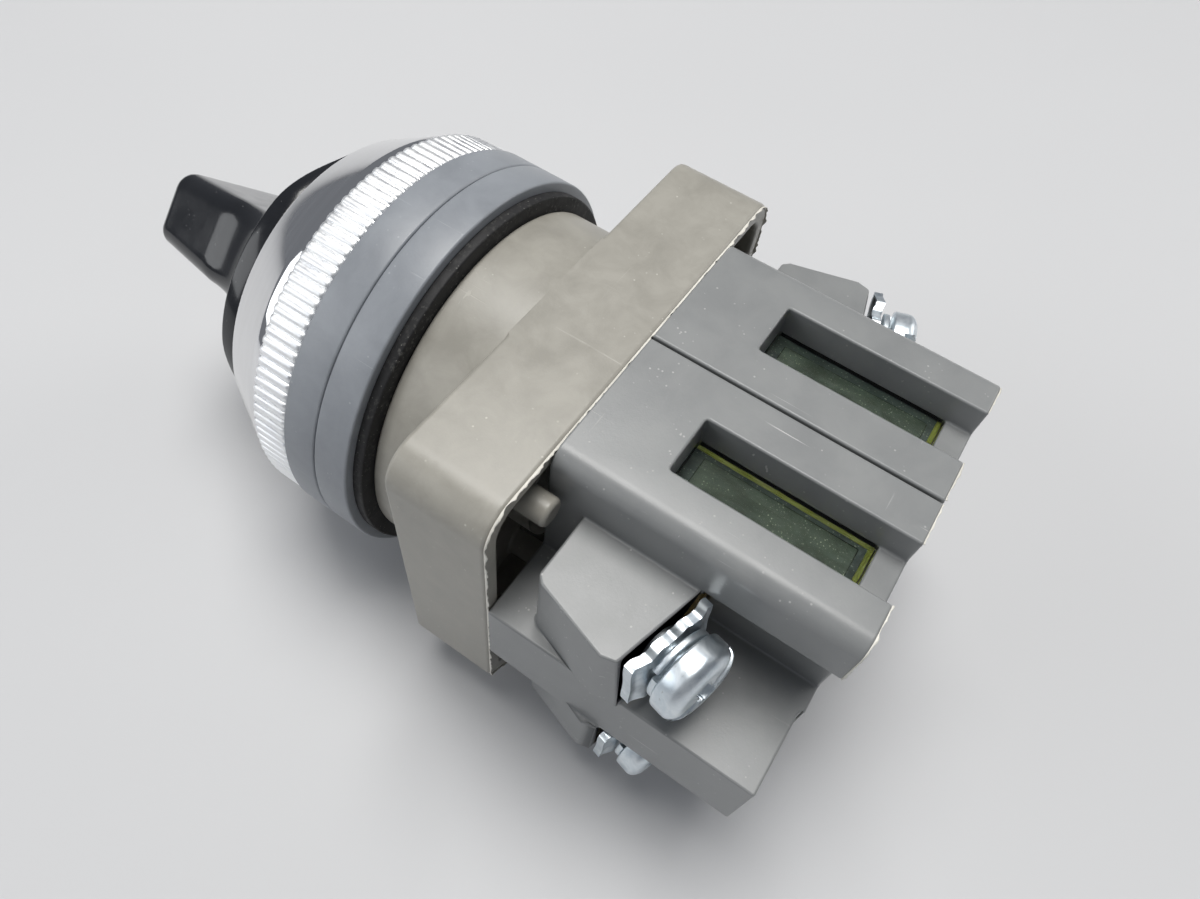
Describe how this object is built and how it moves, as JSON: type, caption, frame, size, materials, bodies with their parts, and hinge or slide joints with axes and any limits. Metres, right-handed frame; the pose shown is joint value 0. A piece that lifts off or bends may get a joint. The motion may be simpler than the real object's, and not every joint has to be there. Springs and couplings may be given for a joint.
{
  "type": "rotary selector switch",
  "caption": "Panel-mounted rotary selector switch: lever knob, knurled locking ring, round barrel with square flange, and side-by-side contact blocks with screw terminals.",
  "frame": {"origin": "on the switch axis, in the plane where the panel's rear face meets the gasket", "axes": "+Y along the switch axis from the knob to the contact blocks, +Z towards the side with the sight windows, +X to the right seen from the knob's side"},
  "size_m": [0.045, 0.077, 0.0404],
  "materials": {
    "operator_plastic": "satin",
    "block_plastic": "satin",
    "spacer_plastic": "satin",
    "gasket_rubber": "matte",
    "knob_plastic": "gloss",
    "pointer_white": "gloss",
    "bezel_chrome": "mirror",
    "zinc_plate": "satin",
    "steel": "satin",
    "inner_nylon": "matte",
    "contact_brass": "satin",
    "window_plastic": "gloss"
  },
  "bodies": {
    "base": {"operator_body": "operator_plastic", "panel_gasket": "gasket_rubber", "rear_spacer_ring": "spacer_plastic", "cam_cover": "inner_nylon", "upper_detent_ball": "steel", "lower_detent_ball": "steel", "upper_detent_spring": "steel", "lower_detent_spring": "steel", "right_block": "block_plastic", "left_block": "block_plastic", "right_window": "window_plastic", "left_window": "window_plastic", "right_return_spring": "steel", "left_return_spring": "steel", "right_upper_contact": "contact_brass", "right_lower_contact": "contact_brass", "left_upper_contact": "contact_brass", "left_lower_contact": "contact_brass", "right_block_screw": "zinc_plate", "left_block_screw": "zinc_plate"},
    "selector": {"selector_knob": "knob_plastic", "knob_pointer": "pointer_white", "knob_grub_screw": "steel", "selector_shaft": "steel", "shaft_o_ring": "gasket_rubber", "retaining_clip": "steel", "cam_rotor": "inner_nylon"},
    "front_spacer": {"front_spacer_ring": "spacer_plastic"},
    "locking_ring": {"locking_ring": "zinc_plate", "bezel": "bezel_chrome"},
    "right_plunger": {"right_cam_pin": "inner_nylon", "right_carrier": "inner_nylon", "right_bridge": "contact_brass"},
    "left_plunger": {"left_cam_pin": "inner_nylon", "left_carrier": "inner_nylon", "left_bridge": "contact_brass"},
    "right_upper_clamp_set": {"right_upper_clamp": "zinc_plate", "right_upper_washer": "zinc_plate"},
    "right_upper_screw": {"right_upper_screw": "zinc_plate"},
    "right_lower_clamp_set": {"right_lower_clamp": "zinc_plate", "right_lower_washer": "zinc_plate"},
    "right_lower_screw": {"right_lower_screw": "zinc_plate"},
    "left_upper_clamp_set": {"left_upper_clamp": "zinc_plate", "left_upper_washer": "zinc_plate"},
    "left_upper_screw": {"left_upper_screw": "zinc_plate"},
    "left_lower_clamp_set": {"left_lower_clamp": "zinc_plate", "left_lower_washer": "zinc_plate"},
    "left_lower_screw": {"left_lower_screw": "zinc_plate"}
  },
  "joints": [
    {"name": "selector_turn", "type": "hinge", "parent": "base", "child": "selector", "pos_m": [0, 0, 0], "axis": [0, -1, 0], "range_deg": [0, 90]},
    {"name": "right_plunger_slide", "type": "slide", "parent": "base", "child": "right_plunger", "axis": [0, 1, 0], "range_m": [0, 0.0025]},
    {"name": "left_plunger_slide", "type": "slide", "parent": "base", "child": "left_plunger", "axis": [0, -1, 0], "range_m": [0, 0.0025]},
    {"name": "locking_ring_advance", "type": "slide", "parent": "base", "child": "front_spacer", "axis": [0, -1, 0], "range_m": [0, 0.006]},
    {"name": "locking_ring_turn", "type": "hinge", "parent": "front_spacer", "child": "locking_ring", "pos_m": [0, -0.0092, 0], "axis": [0, -1, 0], "range_deg": [0, 1440]},
    {"name": "right_upper_clamp_slide", "type": "slide", "parent": "base", "child": "right_upper_clamp_set", "axis": [0.2574, 0.9606, 0.1045], "range_m": [-0.00036, 0.0018]},
    {"name": "right_upper_screw_turn", "type": "hinge", "parent": "right_upper_clamp_set", "child": "right_upper_screw", "pos_m": [0.0181, 0.03005, 0.0098], "axis": [0.2574, 0.9606, 0.1045], "range_deg": [-216, 1080]},
    {"name": "right_lower_clamp_slide", "type": "slide", "parent": "base", "child": "right_lower_clamp_set", "axis": [0.2588, 0.9659, 0], "range_m": [-0.00036, 0.0018]},
    {"name": "right_lower_screw_turn", "type": "hinge", "parent": "right_lower_clamp_set", "child": "right_lower_screw", "pos_m": [0.0181, 0.0298, -0.0092], "axis": [0.2588, 0.9659, 0], "range_deg": [-216, 1080]},
    {"name": "left_upper_clamp_slide", "type": "slide", "parent": "base", "child": "left_upper_clamp_set", "axis": [-0.2574, 0.9606, 0.1045], "range_m": [-0.00036, 0.0018]},
    {"name": "left_upper_screw_turn", "type": "hinge", "parent": "left_upper_clamp_set", "child": "left_upper_screw", "pos_m": [-0.0181, 0.03005, 0.0098], "axis": [-0.2574, 0.9606, 0.1045], "range_deg": [-216, 1080]},
    {"name": "left_lower_clamp_slide", "type": "slide", "parent": "base", "child": "left_lower_clamp_set", "axis": [-0.2588, 0.9659, 0], "range_m": [-0.00036, 0.0018]},
    {"name": "left_lower_screw_turn", "type": "hinge", "parent": "left_lower_clamp_set", "child": "left_lower_screw", "pos_m": [-0.0181, 0.0298, -0.0092], "axis": [-0.2588, 0.9659, 0], "range_deg": [-216, 1080]}
  ],
  "couplings": [
    {"joint": "right_plunger_slide", "follows": "selector_turn", "m_per_rad": 0.0015915},
    {"joint": "left_plunger_slide", "follows": "selector_turn", "m_per_rad": 0.0015915},
    {"joint": "locking_ring_advance", "follows": "locking_ring_turn", "m_per_rad": 0.00023873},
    {"joint": "right_upper_screw_turn", "follows": "right_upper_clamp_slide", "rad_per_m": 10472},
    {"joint": "right_lower_screw_turn", "follows": "right_lower_clamp_slide", "rad_per_m": 10472},
    {"joint": "left_upper_screw_turn", "follows": "left_upper_clamp_slide", "rad_per_m": 10472},
    {"joint": "left_lower_screw_turn", "follows": "left_lower_clamp_slide", "rad_per_m": 10472}
  ]
}
